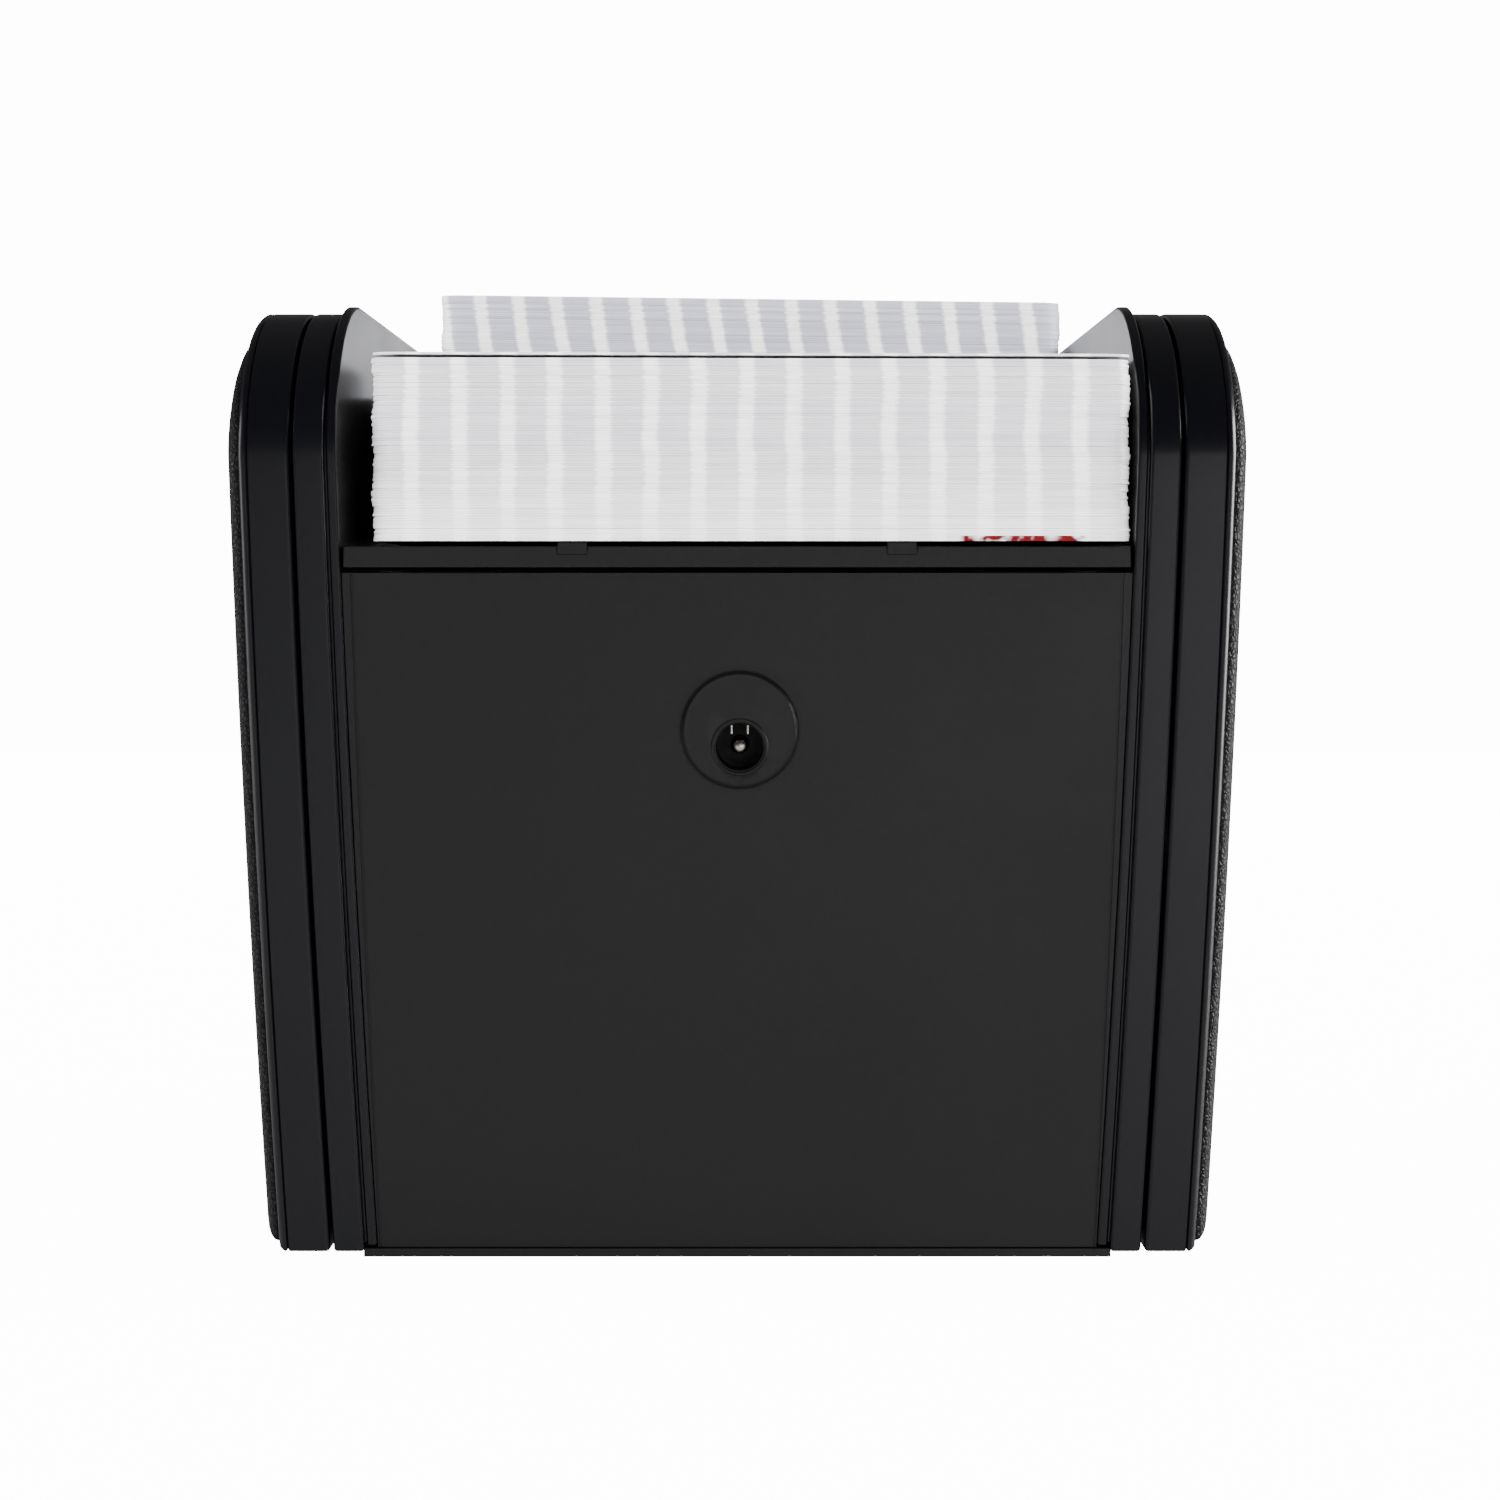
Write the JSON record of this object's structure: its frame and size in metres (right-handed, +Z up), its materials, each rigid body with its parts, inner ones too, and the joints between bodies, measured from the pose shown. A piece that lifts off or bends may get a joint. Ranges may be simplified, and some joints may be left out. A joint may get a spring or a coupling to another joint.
{
  "type": "automatic card shuffler",
  "caption": "Electric card shuffler with arched, padded sides, a loaded card hopper at each end, a card drawer between them and a round power inlet in the end panel.",
  "frame": {"origin": "on the ground under the middle of the machine", "axes": "+Z up; +Y along the machine's length, from the end with the power inlet to the other end; +X towards the drawer side"},
  "size_m": [0.121, 0.2005, 0.1216],
  "materials": {
    "housing": "fine satin texture",
    "inlet": "satin",
    "trim": "satin gloss",
    "button": "satin gloss",
    "leatherette": "pebbled leatherette",
    "cards": "coated board, printed back",
    "foot_rubber": "matte",
    "screw_steel": "zinc plated",
    "cell_jacket": "shrink-wrapped jacket",
    "contact_metal": "nickel plated",
    "spring_wire": "drawn wire",
    "switch_body": "moulded",
    "board": "solder mask",
    "shaft_steel": "ground",
    "roller_rubber": "matte, ribbed",
    "gear_plastic": "natural acetal",
    "pinion_brass": "machined",
    "motor_can": "drawn and plated"
  },
  "bodies": {
    "housing": {"base_plate": "housing", "end_panel_near": "housing", "end_panel_far": "housing", "hopper_tray_near": "housing", "hopper_tray_far": "housing", "card_gate_near": "housing", "card_gate_far": "housing", "card_chute": "housing", "dc_jack_bezel": "inlet", "dc_jack_body": "inlet", "inner_shell_left": "trim", "inner_shell_right": "trim", "side_cover_left": "trim", "side_cover_right": "trim", "leather_pad_left": "leatherette", "leather_pad_right": "leatherette", "foot_1": "foot_rubber", "foot_2": "foot_rubber", "foot_3": "foot_rubber", "foot_4": "foot_rubber", "base_screw_1": "screw_steel", "base_screw_2": "screw_steel", "base_screw_3": "screw_steel", "base_screw_4": "screw_steel", "battery_1": "cell_jacket", "battery_2": "cell_jacket", "battery_3": "cell_jacket", "battery_4": "cell_jacket", "battery_contact_left": "contact_metal", "battery_contact_right": "contact_metal", "dc_jack_pin": "contact_metal", "button_spring": "spring_wire", "micro_switch": "switch_body", "circuit_board": "board", "motor_near": "motor_can", "motor_far": "motor_can"},
    "drawer": {"card_drawer": "housing", "drawer_front": "trim"},
    "battery_door": {"battery_door": "housing"},
    "start_button": {"start_button": "button"},
    "card_stack_near": {"card_stack_near": "cards"},
    "feed_rollers_near": {"feed_shaft_near": "shaft_steel", "feed_roller_left_near": "roller_rubber", "feed_roller_right_near": "roller_rubber", "feed_gear_near": "gear_plastic"},
    "exit_rollers_near": {"exit_shaft_near": "shaft_steel", "exit_roller_near": "roller_rubber", "exit_gear_near": "gear_plastic"},
    "transfer_gear_near": {"transfer_gear_near": "gear_plastic"},
    "motor_pinion_near": {"motor_pinion_near": "pinion_brass"},
    "card_stack_far": {"card_stack_far": "cards"},
    "feed_rollers_far": {"feed_shaft_far": "shaft_steel", "feed_roller_left_far": "roller_rubber", "feed_roller_right_far": "roller_rubber", "feed_gear_far": "gear_plastic"},
    "exit_rollers_far": {"exit_shaft_far": "shaft_steel", "exit_roller_far": "roller_rubber", "exit_gear_far": "gear_plastic"},
    "transfer_gear_far": {"transfer_gear_far": "gear_plastic"},
    "motor_pinion_far": {"motor_pinion_far": "pinion_brass"}
  },
  "joints": [
    {"name": "drawer_slide", "type": "slide", "parent": "housing", "child": "drawer", "axis": [1, 0, 0], "range_m": [0, 0.085]},
    {"name": "battery_door_slide", "type": "slide", "parent": "housing", "child": "battery_door", "axis": [0, 1, 0], "range_m": [0, 0.06]},
    {"name": "start_button_press", "type": "slide", "parent": "housing", "child": "start_button", "axis": [-1, 0, 0], "range_m": [0, 0.0015], "stiffness_N_per_m": 500, "springref_m": -0.0005, "deforming": ["button_spring"]},
    {"name": "card_stack_lift_near", "type": "slide", "parent": "housing", "child": "card_stack_near", "axis": [0, 0, 1], "range_m": [0, 0.045]},
    {"name": "feed_spin_near", "type": "hinge", "parent": "housing", "child": "feed_rollers_near", "pos_m": [0, -0.062, 0.0745], "axis": [1, 0, 0], "continuous": true},
    {"name": "exit_spin_near", "type": "hinge", "parent": "housing", "child": "exit_rollers_near", "pos_m": [0, -0.042, 0.076], "axis": [1, 0, 0], "continuous": true},
    {"name": "transfer_spin_near", "type": "hinge", "parent": "housing", "child": "transfer_gear_near", "pos_m": [0, -0.04623, 0.05974], "axis": [1, 0, 0], "continuous": true},
    {"name": "pinion_spin_near", "type": "hinge", "parent": "housing", "child": "motor_pinion_near", "pos_m": [0, -0.05754, 0.04843], "axis": [1, 0, 0], "continuous": true},
    {"name": "card_stack_lift_far", "type": "slide", "parent": "housing", "child": "card_stack_far", "axis": [0, 0, 1], "range_m": [0, 0.045]},
    {"name": "feed_spin_far", "type": "hinge", "parent": "housing", "child": "feed_rollers_far", "pos_m": [0, 0.062, 0.0745], "axis": [1, 0, 0], "continuous": true},
    {"name": "exit_spin_far", "type": "hinge", "parent": "housing", "child": "exit_rollers_far", "pos_m": [0, 0.042, 0.076], "axis": [1, 0, 0], "continuous": true},
    {"name": "transfer_spin_far", "type": "hinge", "parent": "housing", "child": "transfer_gear_far", "pos_m": [0, 0.04623, 0.05974], "axis": [1, 0, 0], "continuous": true},
    {"name": "pinion_spin_far", "type": "hinge", "parent": "housing", "child": "motor_pinion_far", "pos_m": [0, 0.05754, 0.04843], "axis": [1, 0, 0], "continuous": true}
  ],
  "couplings": [
    {"joint": "transfer_spin_near", "follows": "feed_spin_near", "ratio": -0.8},
    {"joint": "pinion_spin_near", "follows": "feed_spin_near", "ratio": 2.4},
    {"joint": "exit_spin_near", "follows": "feed_spin_near", "ratio": 2},
    {"joint": "transfer_spin_far", "follows": "feed_spin_far", "ratio": -0.8},
    {"joint": "pinion_spin_far", "follows": "feed_spin_far", "ratio": 2.4},
    {"joint": "exit_spin_far", "follows": "feed_spin_far", "ratio": 2}
  ]
}
